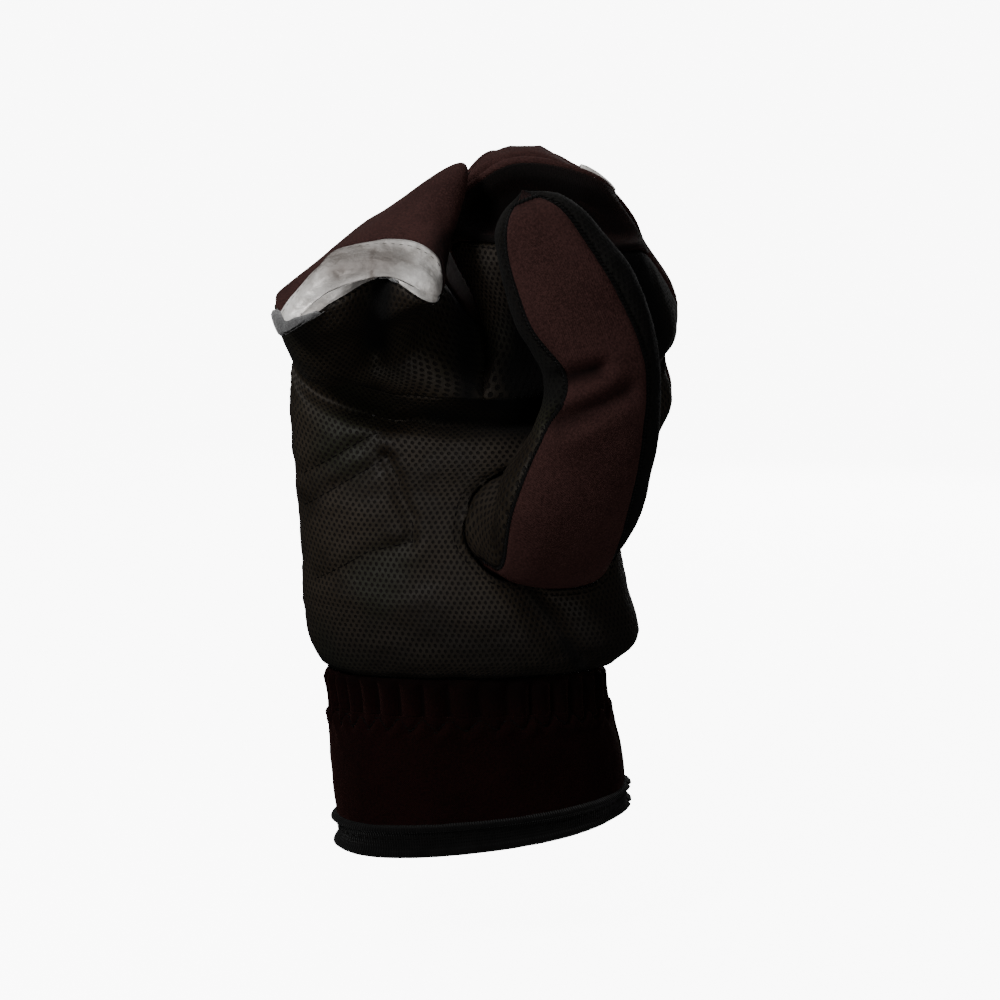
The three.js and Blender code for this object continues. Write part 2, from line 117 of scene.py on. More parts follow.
# The rows at which the hem, the cuff and the gather end, and the gather's height in millimetres.
HEM_TOP = 0.7
CUFF_TOP = 3
GATHER_TOP = 4
GATHER_HEIGHT = 10.6
CUFF_SEAM = 0.25
PUCKERS = 34


def cuff(row, turn):
    return through([ring(turn) for ring in CUFF], row)


def outwards(surface, row, turn, facing):
    """The direction out of the glove; facing is -1 where the turns run towards the thumb side."""
    step = 0.004
    down = (surface(row + step, turn) - surface(row - step, turn)) / (2 * step)
    around = (surface(row, turn + step) - surface(row, turn - step)) / (2 * step)
    normal = np.cross(down, around) * facing
    return normal / np.maximum(np.linalg.norm(normal, axis=-1, keepdims=True), 1e-9)


def laid_out(surface, rows, turns, pitch):
    """Rows and turns of a panel's own grid, its cells being about pitch millimetres wide."""

    def between(bounds, x, share):
        low, high = (bound(x) if callable(bound) else bound + 0 * x for bound in bounds)
        return low + (high - low) * share

    def places(u, v):
        if callable(turns[0]) or callable(turns[1]):
            row = between(rows, v, u)
            return row, between(turns, row, v)
        turn = turns[0] + (turns[1] - turns[0]) * v
        return between(rows, turn, u), turn

    def grid(tall, wide):
        return places(*np.meshgrid(np.linspace(0, 1, tall), np.linspace(0, 1, wide), indexing="ij"))

    rough = surface(*grid(30, 30))
    tall = np.linalg.norm(np.diff(rough, axis=0), axis=-1).sum(axis=0).max()
    wide = np.linalg.norm(np.diff(rough, axis=1), axis=-1).sum(axis=1).max()
    return grid(*(max(round(length / pitch), 4) + 1 for length in (tall, wide)))


def run(points, axis):
    """How far each point lies along its line of the grid, in millimetres."""
    steps = np.linalg.norm(np.diff(points, axis=axis), axis=-1)
    start = np.zeros_like(np.take(steps, [0], axis=axis))
    return np.concatenate([start, np.cumsum(steps, axis=axis)], axis=axis)


def grain(points, size, seed=0.0):
    """Smooth unevenness between about -1 and 1 of a size in millimetres."""
    flat = points.reshape(-1, 3) / size + seed
    return np.array([noise.noise(Vector(p)) for p in flat]).reshape(points.shape[:-1])


def panel(name, surface, rows, turns, node, finish, relief, facing=-1, pitch=1.1, seams="",
          seam_depth=0.8, seam_width=1.2, cut=None, wall=1.5, painted_shade_map=None, taper=None, closed=False,
          pole=None):
    """One sheet of the glove with its wall. seams names the sides that are sewn: low, high, first or
    last. The painted shade map says how far painted shade darkens the colour in folds, hollows and
    gaps where shade falls, taper how thick the wall stays, and a closed sheet is a ring with no side
    seam. At the row pole the tube closes, so relief runs out."""
    row, turn = laid_out(surface, rows, turns, pitch)
    flat = surface(row, turn)
    along, across = run(flat, 0), run(flat, 1)
    reach = {"low": along, "high": along[-1:] - along,
             "first": across, "last": across[:, -1:] - across}
    rise = relief(row, turn, flat)
    for side in seams.split():
        rise = rise - seam_depth * bell(reach[side], seam_width)
    if cut is not None:
        row, turn, clear = cut(row, turn)
        flat = surface(row, turn)
        rise = rise - seam_depth * bell(np.maximum(clear, 0), seam_width)
    shares = taper(row, turn) if taper else 1 + 0 * row
    if pole is not None:
        to_pole = pole - row
        rise = rise * smooth(to_pole, 0, 0.35)
        shares = np.minimum(shares, 0.2 + 0.8 * smooth(to_pole, 0, 0.8))
    points = flat + outwards(surface, row, turn, facing) * rise[..., None]
    # Painted shade: the colour darkens along the given lines and in the relief's valleys, where shade
    # falls. It rides in the cloth attribute's Z.
    painted_shade = np.maximum(painted_shade_map(flat) if painted_shade_map else 0, 0.8 * smooth(-rise, 0.4, 1.7))
    u, v = across.mean(axis=0) + 0 * row, along.mean(axis=1)[:, None] + 0 * row
    cloth = np.stack([u - u.mean(), v, painted_shade], -1)
    height, width = row.shape
    numbers = np.arange(height * width).reshape(height, width)
    if closed:
        numbers[:, -1] = numbers[:, 0]
    corners = [numbers[:-1, :-1], numbers[:-1, 1:], numbers[1:, 1:], numbers[1:, :-1]]
    faces = np.stack(corners, -1).reshape(-1, 4)
    if facing > 0:
        faces = faces[:, ::-1]
    if cut is not None:
        inside = (clear <= 0).reshape(-1)
        faces = faces[~inside[faces].all(axis=1)]
    return sewn(name, points, faces, cloth, node, finish, wall, shares)


MERGED = 0.04


def sewn(name, points, faces, cloth, node, finish, wall, shares):
    """Makes the piece's object: the mesh, its place on the cloth, its wall and its ride."""
    mesh = bpy.data.meshes.new(name)
    mesh.from_pydata((points.reshape(-1, 3) * MM).tolist(), [], faces.tolist())
    # The cloth attribute holds the place on the cloth in X and Y and the painted shade in Z.
    layer = mesh.attributes.new("cloth", "FLOAT_VECTOR", "POINT")
    layer.data.foreach_set("vector", cloth.ravel())
    work = bmesh.new()
    work.from_mesh(mesh)
    thickness = work.verts.layers.deform.verify()
    for vertex, share in zip(work.verts, shares.ravel().tolist()):
        vertex[thickness][0] = share
    bmesh.ops.delete(work, geom=[v for v in work.verts if not v.link_faces], context="VERTS")
    bmesh.ops.remove_doubles(work, verts=work.verts, dist=MERGED * MM)
    for face in work.faces:
        face.smooth = True
    work.to_mesh(mesh)
    work.free()
    piece = bpy.data.objects.new(name, mesh)
    bpy.context.scene.collection.objects.link(piece)
    mesh.materials.append(finish)
    mesh.materials.append(fleece)
    piece.vertex_groups.new(name="wall")
    thick = piece.modifiers.new("wall", "SOLIDIFY")
    thick.vertex_group = "wall"
    thick.thickness = wall * MM
    thick.offset = -1
    thick.material_offset = 1
    if node:
        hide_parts(*node.split())
    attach(piece, "root")
    return piece


class Shade:
    """A socket of a material's node tree that Python's operators turn into Math nodes."""

    def __init__(self, tree, socket):
        self.tree = tree
        self.socket = socket

    def node(self, kind, settings=None, values=None, output=0):
        made = self.tree.nodes.new(kind)
        for name, value in (settings or {}).items():
            setattr(made, name, value)
        for name, value in (values or {}).items():
            socket = made.inputs[name]
            if isinstance(value, Shade):
                self.tree.links.new(value.socket, socket)
            else:
                socket.default_value = value
        return Shade(self.tree, made.outputs[output])

    def math(self, operation, *terms):
        return self.node("ShaderNodeMath", {"operation": operation}, dict(enumerate(terms)))

    def __add__(self, other):
        return self.math("ADD", self, other)

    def __sub__(self, other):
        return self.math("SUBTRACT", self, other)

    def __mul__(self, other):
        return self.math("MULTIPLY", self, other)

    def __truediv__(self, other):
        return self.math("DIVIDE", self, other)

    def part(self, name):
        return self.node("ShaderNodeSeparateXYZ", {}, {"Vector": self}, name)

    def floor(self):
        return self.math("FLOOR", self)

    def fraction(self):
        return self.math("FRACT", self)

    def clear(self, low, high, start=0.0, end=1.0):
        """A smooth step from start to end as the value goes from low to high."""
        values = {"Value": self, "From Min": low, "From Max": high, "To Min": start, "To Max": end}
        return self.node("ShaderNodeMapRange", {"interpolation_type": "SMOOTHSTEP"}, values)

    def blend(self, first, second):
        """A colour between two, by this share."""
        return self.mixed((*first, 1), (*second, 1))

    def tinted(self, shade, colour):
        """Another shade's colour, turned to a plain one by this share."""
        return self.mixed(shade, (*colour, 1))

    def mixed(self, first, second):
        made = self.tree.nodes.new("ShaderNodeMix")
        made.data_type = "RGBA"
        factor, start, end = (s for s in made.inputs if s.enabled)
        for socket, value in ((factor, self), (start, first), (end, second)):
            if isinstance(value, Shade):
                self.tree.links.new(value.socket, socket)
            else:
                socket.default_value = value
        return Shade(self.tree, next(s for s in made.outputs if s.enabled))


def finish_of(name, specular=0.5, sheen=0.0, sheen_tint=(1, 1, 1), sheen_roughness=0.5):
    """A new material: its tree's coordinates, its shader and a function that closes it."""
    material = bpy.data.materials.new(name)
    material.use_nodes = True
    tree = material.node_tree
    shader = tree.nodes["Principled BSDF"]
    shader.inputs["Specular IOR Level"].default_value = specular
    shader.inputs["Sheen Weight"].default_value = sheen
    shader.inputs["Sheen Tint"].default_value = (*sheen_tint, 1)
    shader.inputs["Sheen Roughness"].default_value = sheen_roughness
    start = Shade(tree, None)
    place = start.node("ShaderNodeTexCoord", output="Object")
    cloth = start.node("ShaderNodeAttribute", {"attribute_name": "cloth"}, output="Vector")

    def close(colour, roughness, height=None, depth=1.0, metallic=None):
        looks = {"Base Color": colour, "Roughness": roughness, "Metallic": metallic}
        for socket, value in looks.items():
            if isinstance(value, Shade):
                tree.links.new(value.socket, shader.inputs[socket])
            elif value is not None:
                full = (*value, 1) if isinstance(value, tuple) else value
                shader.inputs[socket].default_value = full
        if height is not None:
            raised = start.node("ShaderNodeBump", {}, {"Height": height, "Distance": depth * MM})
            tree.links.new(raised.socket, shader.inputs["Normal"])
        return material

    return start, place, cloth, close


def noise_of(start, vector, scale, detail=2.0, roughness=0.5):
    values = {"Vector": vector, "Scale": scale, "Detail": detail, "Roughness": roughness}
    return start.node("ShaderNodeTexNoise", {}, values, "Fac")


def make_softshell(name, dark, light, sheen=0.05, specular=0.07):
    """Softshell: a matt, tightly woven face with a fine crossed grain and a faint warm sheen."""
    start, place, cloth, close = finish_of(name, specular=specular, sheen=sheen,
                                           sheen_tint=(0.75, 0.34, 0.3), sheen_roughness=0.45)
    threads_per_mm = 1.6
    u = cloth.part("X") * (threads_per_mm * FULL_TURN)
    v = cloth.part("Y") * (threads_per_mm * FULL_TURN)
    weave = u.math("SINE", u) * v.math("SINE", v)
    cloud = noise_of(start, place, 60, 3)
    speck = noise_of(start, place, 1500, 3, 0.6)
    share = (cloud * 0.3 + speck * 0.7 + weave * 0.05).clear(0.36, 0.64)
    # Painted shade: the cloth attribute's Z darkens the colour towards near black.
    colour = cloth.part("Z").tinted(share.blend(dark, light), (0.0012, 0.0006, 0.0006))
    height = weave * 0.4 + speck * 1.6 + cloud * 1.2
    return close(colour, speck.clear(0.3, 0.7, 0.78, 0.95), height, 0.16)


def make_fleece():
    """The brushed back of the shell: soft, matt and a little lighter than black."""
    start, place, cloth, close = finish_of("fleece", specular=0.1, sheen=0.5, sheen_roughness=0.7)
    nap = noise_of(start, place, 1400, 4, 0.7)
    lumps = noise_of(start, place, 260, 2)
    colour = nap.clear(0.3, 0.7).blend((0.006, 0.006, 0.0065), (0.022, 0.021, 0.022))
    return close(colour, 0.97, nap + lumps, 0.5)


# The cuff's softshell is a darker copy of the softshell: painted shade for the lower light on the
# cuff.
shaded_cuff_softshell = make_softshell("shaded_cuff_softshell", (0.0032, 0.0007, 0.0006), (0.0085, 0.0021, 0.0018),
                                sheen=0.04, specular=0.04)
fleece = make_fleece()


def make_thread():
    """Black sewing thread, twisted, with a faint shine."""
    start, place, cloth, close = finish_of("thread", specular=0.08)
    twist = noise_of(start, place, 2200, 2)
    colour = twist.clear(0.3, 0.7).blend((0.0008, 0.0006, 0.0006), (0.0028, 0.0022, 0.0021))
    return close(colour, 0.7, twist, 0.08)


thread = make_thread()


class Sewing:
    """A Geometry Nodes tree that is built node by node, with named inputs for its sizes."""

    def __init__(self, name, sizes):
        self.tree = bpy.data.node_groups.new(name, "GeometryNodeTree")
        sockets = self.tree.interface
        sockets.new_socket("Line", in_out="INPUT", socket_type="NodeSocketGeometry")
        for size in sizes:
            sockets.new_socket(size, in_out="INPUT", socket_type="NodeSocketFloat")
        sockets.new_socket("Finish", in_out="INPUT", socket_type="NodeSocketMaterial")
        sockets.new_socket("Made", in_out="OUTPUT", socket_type="NodeSocketGeometry")
        self.given = self.tree.nodes.new("NodeGroupInput").outputs

    def node(self, kind, values, output=0, **settings):
        made = self.tree.nodes.new(kind)
        for name, value in settings.items():
            setattr(made, name, value)
        for name, value in values.items():
            if isinstance(value, bpy.types.NodeSocket):
                self.tree.links.new(value, made.inputs[name])
            else:
                made.inputs[name].default_value = value
        return made.outputs[output]

    def close(self, geometry):
        real = self.node("GeometryNodeRealizeInstances", {"Geometry": geometry})
        made = self.node("GeometryNodeSetMaterial",
                         {"Geometry": real, "Material": self.given["Finish"]})
        self.tree.links.new(made, self.tree.nodes.new("NodeGroupOutput").inputs[0])
        return self.tree


def make_stitches():
    """Stitches laid along a line, or turned across it, each one a little uneven."""
    sewing = Sewing("stitches", ["Spacing", "Length", "Thickness", "Turned"])
    given = sewing.given
    curve = sewing.node("GeometryNodeMeshToCurve", {"Mesh": given["Line"]})
    spaced = sewing.node("GeometryNodeResampleCurve", {"Curve": curve, "Length": given["Spacing"]},
                         mode="LENGTH")
    tangent = sewing.node("GeometryNodeInputTangent", {})
    out = sewing.node("GeometryNodeInputNamedAttribute", {"Name": "out"},
                      data_type="FLOAT_VECTOR")
    lying = sewing.node("FunctionNodeAlignRotationToVector", {"Vector": tangent}, axis="Z")
    upright = sewing.node("FunctionNodeAlignRotationToVector", {"Rotation": lying, "Vector": out},
                          axis="X", pivot_axis="Z")
    turn = sewing.node("FunctionNodeAxisAngleToRotation",
                       {"Axis": (1, 0, 0), "Angle": given["Turned"]})
    turned = sewing.node("FunctionNodeRotateRotation", {"Rotation": upright, "Rotate By": turn},
                         rotation_space="LOCAL")
    bead = sewing.node("GeometryNodeMeshUVSphere", {"Segments": 7, "Rings": 5, "Radius": 0.5})
    rounded = sewing.node("GeometryNodeSetShadeSmooth", {"Geometry": bead})
    shortest, longest = 2, 3
    uneven = sewing.node("FunctionNodeRandomValue", {shortest: 0.88, longest: 1.1, "Seed": 5},
                         output=1, data_type="FLOAT")
    long = sewing.node("ShaderNodeMath", {0: given["Length"], 1: uneven}, operation="MULTIPLY")
    size = sewing.node("ShaderNodeCombineXYZ",
                       {"X": given["Thickness"], "Y": given["Thickness"], "Z": long})
    laid = sewing.node("GeometryNodeInstanceOnPoints",
                       {"Points": spaced, "Instance": rounded, "Rotation": turned, "Scale": size})
    return sewing.close(laid)


stitches = make_stitches()
IN_FRONT_MM = -150


def laid_on(name, piece, points, tree, finish, sunk=0.0, from_front=False, **sizes_mm):
    """A row of stitches or a piping that lies on a piece's outside, along points in millimetres. From
    the front the points are X and Z alone. Turned, the one size that is no length, is an angle."""
    sheet = piece.data
    skin = BVHTree.FromPolygons([v.co for v in sheet.vertices], [f.vertices for f in sheet.polygons])
    if from_front:
        hits = [skin.ray_cast(Vector((x, IN_FRONT_MM, z)) * MM, (0, 1, 0)) for x, z in points]
    else:
        hits = [skin.find_nearest(Vector(point) * MM) for point in points]
    mesh = bpy.data.meshes.new(name)
    places = [hit[0] - hit[1] * sunk * MM for hit in hits]
    mesh.from_pydata(places, [(k, k + 1) for k in range(len(places) - 1)], [])
    out = mesh.attributes.new("out", "FLOAT_VECTOR", "POINT")
    out.data.foreach_set("vector", np.array([hit[1] for hit in hits]).ravel())
    line = bpy.data.objects.new(name, mesh)
    bpy.context.scene.collection.objects.link(line)
    modifier = line.modifiers.new("sewing", "NODES")
    modifier.node_group = tree
    given = {size: value * (1 if size == "Turned" else MM) for size, value in sizes_mm.items()}
    given["Finish"] = finish
    for socket in tree.interface.items_tree:
        if socket.in_out == "INPUT" and socket.name in given:
            modifier[socket.identifier] = given[socket.name]
    bpy.context.view_layer.update()
    evaluated = line.evaluated_get(bpy.context.evaluated_depsgraph_get())
    made = bpy.data.meshes.new_from_object(evaluated)
    line.modifiers.remove(modifier)
    line.data = made
    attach(line, "root")
    return line


def stitched(name, piece, surface, rows, turns, spacing=2.5, length=2.0, thickness=0.5, count=400):
    """Stitches along a line of rows and turns, each of which may be one number."""
    share = np.linspace(0, 1, count)

    def along(values):
        values = np.atleast_1d(values)
        return np.interp(share, np.linspace(0, 1, len(values)), values)

    return laid_on(name, piece, surface(along(rows), along(turns)), stitches, thread, sunk=0.1,
                   Spacing=spacing, Length=length, Thickness=thickness)


ZIGZAG_LOW = 2.62
ZIGZAG_TALL = 0.34


def zigzag_row(turn):
    """The elastic's stitches run down and up once in each pucker."""
    share = (PUCKERS * turn + 0.5) % 1
    return ZIGZAG_LOW + ZIGZAG_TALL * np.abs(2 * share - 1)


def pleated(row, turn, flat):
    """Pillows that the elastic pulls up, with valleys between them that run out in the cuff."""
    shifted = PUCKERS * math.pi * turn + 0.3 * grain(flat * [1, 1, 0], 17, 8.2)
    uneven = 1 + 0.4 * grain(flat * [1, 1, 0], 11, 3.1)
    pillow = np.abs(np.cos(shifted)) ** 0.95
    above = (row - zigzag_row(turn)) * GATHER_HEIGHT
    on_gather = smooth(above, -0.3, 1.2) * smooth(GATHER_TOP - row, 0, 0.25)
    folds = 2.9 * on_gather * (pillow - 0.62) * uneven
    ridges = 2.1 * bell(above + 2.4, 2.6) * (1 - on_gather) * (0.25 + 0.75 * (1 - pillow)) * uneven
    seam = 1.1 * bell(above, 0.7)
    drape = 0.55 * grain(flat * [1, 1, 0.35], 16, 1.7) + 0.25 * grain(flat, 6, 9.1)
    return folds + ridges - seam + drape * smooth(GATHER_TOP - 0.4 - row, 0, 1)


def line_distance(flat, start, end):
    """How far each point lies from a line in X and Z."""
    start, end = np.array(start, float), np.array(end, float)
    here = flat[..., [0, 2]] - start
    share = np.clip((here @ (end - start)) / ((end - start) @ (end - start)), 0, 1)
    return np.linalg.norm(here - share[..., None] * (end - start), axis=-1)


def painted_shade_lines(folds):
    """Painted shade along lines in X and Z where shade falls, each with a width and a share."""

    def painted_shade_map(flat):
        depths = [share * bell(line_distance(flat, start, end), width)
                  for start, end, width, share in folds]
        return np.minimum(np.max(depths, axis=0), 1)

    return painted_shade_map


# Painted shade on the cuff and gather: under the palm's lower edge, across the gather's right half,
# and down the cuff's right side.
CUFF_PAINTED_SHADE = [
    ((-42, 58), (40, 59), 5.5, 0.8),
    ((0, 55), (44, 55), 8, 0.8),
    ((34, 50), (42, 10), 8, 0.4),
]
ALL_ROUND = (CUFF_SEAM, CUFF_SEAM + 1)
TUCKED_IN = 0.12
cuff_piece = panel("cuff", cuff, (HEM_TOP - TUCKED_IN, CUFF_TOP), ALL_ROUND, "cuff", shaded_cuff_softshell,
                   pitch=0.8, relief=pleated, seams="first last", painted_shade_map=painted_shade_lines(CUFF_PAINTED_SHADE))
gather_piece = panel("wrist_gather", cuff, (CUFF_TOP, GATHER_TOP), ALL_ROUND, "wrist_gather",
                     shaded_cuff_softshell, pitch=0.5, relief=pleated, seams="high first last",
                     painted_shade_map=painted_shade_lines(CUFF_PAINTED_SHADE))
ZIGZAG_POINTS = 1400
round_turns = np.linspace(*ALL_ROUND, ZIGZAG_POINTS)
stitched("gather_stitches", cuff_piece, cuff, zigzag_row(round_turns), round_turns,
         spacing=1.9, length=1.8, thickness=0.55, count=ZIGZAG_POINTS)


# The hem binding: a black knitted tape, folded over the cuff's edge and stitched through, with a
# rolled ridge along each of its own edges.
def make_knit():
    """Fine ribs with rows across them, dull and black."""
    start, place, cloth, close = finish_of("black_knit", specular=0.1, sheen=0.04)
    rib_mm, row_mm = 0.8, 0.9
    ribs = cloth.part("X") * (FULL_TURN / rib_mm)
    rows = cloth.part("Y") * (FULL_TURN / row_mm)
    fuzz = noise_of(start, place, 900, 2)
    height = ribs.math("SINE", ribs) + rows.math("SINE", rows) * 0.5 + fuzz * 1.2
    shade = noise_of(start, place, 300, 2).clear(0.3, 0.7)
    colour = shade.blend((0.0011, 0.001, 0.001), (0.0026, 0.0023, 0.0023))
    return close(colour, 0.88, height, 0.12)


def bound_edge(row, turn, flat):
    """The ridges along the binding's edges."""
    share = row / HEM_TOP
    uneven = 0.3 * grain(flat, 15, 5) + 0.15 * grain(flat, 5, 2)
    return 0.5 + 1.8 * bell(share - 0.13, 0.11) + 1.5 * bell(share - 0.87, 0.09) + uneven


knit = make_knit()
hem_piece = panel("hem_binding", cuff, (0, HEM_TOP), ALL_ROUND, "hem_binding", knit, pitch=0.7,
                  relief=bound_edge, seams="low high first last", seam_width=0.7, wall=3.4)
stitched("hem_stitches", hem_piece, cuff, HEM_TOP * 0.6, ALL_ROUND, spacing=2.6, count=700)


# The palm: one panel of perforated leather from the gather to the foot of the pockets, cut out round
# the thumb and sewn to the back along both sides. Stitched lines quilt the pad at its left.
HAND = [
    section((-5.5, 0, 56), (44, 1, 0), (0, -26, 1)),
    section((-2.8, -1, 62.5), (49.7, 1, 0), (0, -28, 0)),
    section((-3.2, -1, 71), (52, 0, -1), (0, -29, 0)),
    section((-5.7, -1, 84), (50.3, 0, 0), (0, -29, -2)),
    section((-6.7, 0, 102), (49.8, 0, 0), (0, -27, -4)),
    section((-3.8, 1, 120), (54.2, 0, 1), (0, -26, -7)),
    section((-0.4, 2, 138), (58.9, 0, 1), (0, -27, -14), (0, 26, 8)),
    section((-1, 3, 149), (58, 0, 1.5), (0, -26, -18), (0, 25, 9)),
    section((-0.8, 6, 155.5), (57.6, 0, 1.2), (0, -20, -21), (0, 23, 10)),
    section((0.7, 1, 163.5), (59.3, 0, 0), (0, -30, -20), (0, 24, 9)),
]
HAND_TOP = len(HAND) - 1
SIDE_SEAM = 0.25
PALM_SIDE = (-SIDE_SEAM, SIDE_SEAM)
BACK_SIDE = (SIDE_SEAM, 1 - SIDE_SEAM)
# The thumb's hole, tall in rows and wide in turns, and the leather's dots in millimetres.
HOLE = {"row": 4.65, "turn": 0.108, "tall": 1.5, "wide": 0.108, "square": 0.8, "reach_mm": 24}
DOTS = {"apart": 2.0, "row": 1.62, "wide": 0.46, "tall": 0.58}
# Folds and painted shade are lines in X and Z, as they look from the front: start, end, width, and
# how far a fold rises or how dark the painted shade is.
PALM_FOLDS = [
    ((-55, 118), (-17, 137), 3.5, -1.6),
    ((-55, 108), (-29, 125), 3.5, -1.6),
    ((-29, 125), (-21, 103), 3, -1.2),
    ((-23, 98), (-50, 84), 3.5, -1.4),
    ((-46, 101), (-33, 110), 9, 2),
    ((11, 87), (29, 61), 4, -6.5),
    ((34, 80), (42, 66), 7, 3.5),
    ((-45, 148), (-13, 136), 5, 2.5),
    ((9, 156), (22, 142), 8, -6),
]
# Painted shade on the palm: in the heel's wrinkle, along the crease under the pockets, by the cleft
# under the thumb, and a broad band that darkens it towards the gather.
PALM_PAINTED_SHADE = [
    ((12, 88), (25, 68), 2.6, 0.75),
    ((25, 68), (31, 58), 3.6, 0.95),
    ((-14, 137), (26, 132), 5, 0.9),
    ((2, 143), (24, 138), 9, 1),
    ((-58, 157), (-43, 151), 0.9, 0.5),
    ((-43, 151), (-12, 138), 1, 0.5),
    ((-42, 64), (44, 64), 14, 0.55),
]
QUILTING = [
    [(-55, 117.9), (-34.2, 130.9), (-17.4, 137.3)],
    [(-55.1, 107.8), (-41.2, 116.9), (-28.8, 124.8)],
    [(-28.8, 124.8), (-25, 118.8), (-24.4, 112.4), (-20.8, 107.2), (-20.9, 99.5)],
    [(-51.4, 85.7), (-34.4, 96.2), (-20.9, 99.5)],
]


def pushed(flat, turn, folds, share=1.0):
    """Pushes the palm side out along -Y by the folds that it lies on."""
    palmward = np.maximum(np.cos(turn * FULL_TURN), 0) * share
    flat = flat.copy()
    for start, end, width, rise in folds:
        flat[..., 1] -= rise * palmward * bell(line_distance(flat, start, end), width)
    return flat


def hand(row, turn):
    return pushed(through([ring(turn) for ring in HAND], row), turn, PALM_FOLDS)


def make_leather():
    """Soft dark leather with a fine grain, punched with staggered rows of long dots."""
    start, place, cloth, close = finish_of("leather", specular=0.18)
    line = cloth.part("Y") / DOTS["row"] + noise_of(start, place, 35, 1) * 1.5
    shift = (line.floor() * 0.5).fraction()
    column = cloth.part("X") / DOTS["apart"] + shift
    across = (column.fraction() - 0.5) * (DOTS["apart"] / DOTS["wide"])
    along = (line.fraction() - 0.5) * (DOTS["row"] / DOTS["tall"])
    dot = (across * across + along * along).clear(0.6, 1.5, 1.0, 0.0)
    pebble = start.node("ShaderNodeTexVoronoi", {}, {"Vector": place, "Scale": 1300.0}, "Distance")
    cloud = noise_of(start, place, 38, 4, 0.6)
    worn = cloud.clear(0.36, 0.66).blend((0.0115, 0.0082, 0.005), (0.0225, 0.0165, 0.0108))
    olive = noise_of(start, place, 22, 2).clear(0.5, 0.68).tinted(worn, (0.0135, 0.0133, 0.0078))
    punched = dot.tinted(olive, (0.004, 0.0025, 0.0018))
    # Painted shade: the cloth attribute's Z darkens the colour towards near black and roughens it.
    shade = cloth.part("Z")
    colour = shade.tinted(punched, (0.001, 0.0008, 0.0007))
    roughness = cloud.clear(0.3, 0.7, 0.5, 0.68) + dot * 0.2 + shade * 0.4
    height = pebble * 0.3 - dot * 1.5 + noise_of(start, place, 400, 3) * 0.5
    return close(colour, roughness, height, 0.22)


def hole_reach(row, turn):
    """How far a place lies from the hole's middle, 1 at its edge."""
    across = (turn - HOLE["turn"]) / HOLE["wide"]
    along = (row - HOLE["row"]) / HOLE["tall"]
    exponent = 2 / HOLE["square"]
    return (np.abs(across) ** exponent + np.abs(along) ** exponent) ** (1 / exponent)


def around_thumb(row, turn):
    """Draws the grid's points inside the thumb's hole onto its edge; clear is under 0 inside it."""
    reach = hole_reach(row, turn)
    pull = 1 / np.clip(reach, 0.1, 1)
    row = HOLE["row"] + (row - HOLE["row"]) * pull
    turn = HOLE["turn"] + (turn - HOLE["turn"]) * pull
    return row, turn, (reach - 1) * HOLE["reach_mm"]


def quilted(row, turn, flat):
    """The grooves of the quilting, with a swell on one side of each, and soft creases all over."""
    groove = np.zeros(row.shape)
    for points in QUILTING:
        away = np.min([line_distance(flat, *pair) for pair in zip(points, points[1:])], axis=0)
        groove = groove + 0.5 * bell(away, 1.1) - 0.45 * bell(away - 3.6, 2.4)
    creases = 0.6 * grain(flat * [1, 1, 2], 14, 4.4) + 0.25 * grain(flat * [1, 1, 1.5], 5, 9.3)
    return creases - groove * np.maximum(np.cos(turn * FULL_TURN), 0)


leather = make_leather()
palm_piece = panel("palm_panel", hand, (0, HAND_TOP), PALM_SIDE, "palm_panel", leather,
                   relief=quilted, seams="low first last", cut=around_thumb,
                   painted_shade_map=painted_shade_lines(PALM_PAINTED_SHADE))
INSIDE_SEAM = 0.01
SIDE_STITCH = 0.243
FIRST_STITCH = 0.3
palm_edge = (INSIDE_SEAM - SIDE_SEAM, SIDE_SEAM - INSIDE_SEAM)
stitched("palm_edge_stitches", palm_piece, hand, FIRST_STITCH, palm_edge)
for side_name, side_turn in (("left", -SIDE_STITCH), ("right", SIDE_STITCH)):
    stitched(f"palm_side_stitches_{side_name}", palm_piece, hand,
             (FIRST_STITCH, HAND_TOP - 0.2), side_turn)
for number, corners in enumerate(QUILTING):
    far = np.cumsum([0] + [math.dist(*pair) for pair in zip(corners, corners[1:])])
    share = np.linspace(1.5, far[-1], 120)
    line = np.stack([np.interp(share, far, axis) for axis in zip(*corners)], -1)
    laid_on(f"quilting_stitches_{number + 1}", palm_piece, line, stitches, thread, sunk=0.1,
            from_front=True, Spacing=2.5, Length=1.9, Thickness=0.45)


# The back of the hand: one plain softshell panel between the two side seams, sewn to the gather
# below it and to both pockets above it.
def softly(row, turn, flat):
    """The slight unevenness of thick cloth."""
    return 0.5 * grain(flat, 26, 6.1) + 0.2 * grain(flat, 9, 2.3)


softshell = make_softshell("softshell", (0.018, 0.0072, 0.0064), (0.041, 0.0176, 0.0158))
back_piece = panel("hand_back", hand, (0, HAND_TOP), BACK_SIDE, "hand_back", softshell,
                   relief=softly, seams="low high first last")


# The left pocket, for the ring and little fingers: it curls forward over the palm, with leather below
# and softshell above, and a band of silver reflective tape is sewn over its tip.
LEFT_POCKET = [
    section((-36, -11, 171), (23, 0, 7), (1, -22, -20), (0, 25, 13),
            square=0.75, peak=(3, 0, 9), fall=4),
    section((-36, -26, 180), (25, 0, 8), (0, -19, -17), (0, 14, 11),
            square=0.8, peak=(13, 0, 19), fall=8),
    section((-35.5, -42, 181), (25, 0, 4), (0, -14, -12), (0, 10, 12),
            (0, 0, -1), square=0.8, peak=(2, 0, 8), fall=7),
    section((-35, -53, 181.5), (24.5, 0, 2), (0, -8, -7), (0, 5, 9.5),
            (0, 0, -4), square=0.75, fall=2),
    section((-34.5, -58.5, 181), (22.5, 0, 2), (0, -3, -4.5), (0, -1, 6), (0, 0, -4.5), square=0.7),
    section((-34.5, -61.5, 180.5), (17, 0, 1.5), (0, 0, 0), (0, 0, 0), (0, 0, -3)),
]
